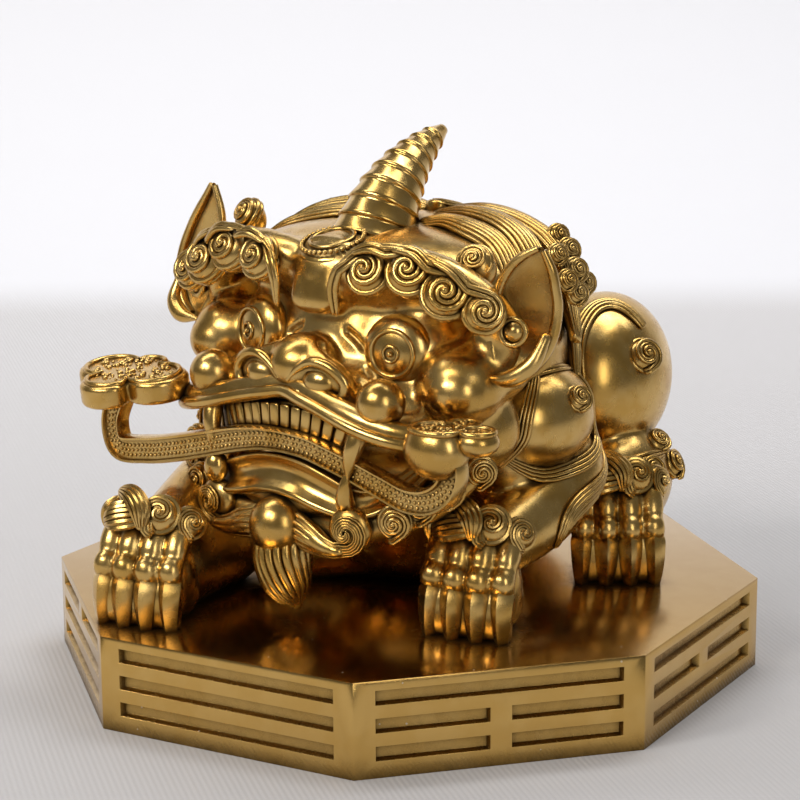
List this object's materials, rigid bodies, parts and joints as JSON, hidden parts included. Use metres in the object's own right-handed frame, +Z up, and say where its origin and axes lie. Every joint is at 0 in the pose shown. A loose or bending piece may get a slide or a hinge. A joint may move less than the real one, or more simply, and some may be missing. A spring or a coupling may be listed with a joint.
{
  "type": "brass beast figure",
  "caption": "One-horned auspicious beast in polished cast brass, crouching with a ruyi sceptre across its jaws, on an eight-sided plinth with trigram lines.",
  "frame": {"origin": "centre of the plinth's underside", "axes": "+Z up, -Y to the front, where the beast looks, +X to the beast's left"},
  "size_m": [0.16, 0.16, 0.1307],
  "materials": {
    "plinth_brass": "polished faces with brown patina in the lines",
    "beast_brass": "polished with brown patina in the recesses"
  },
  "bodies": {
    "root": {"plinth": "plinth_brass", "beast": "beast_brass"}
  },
  "joints": []
}
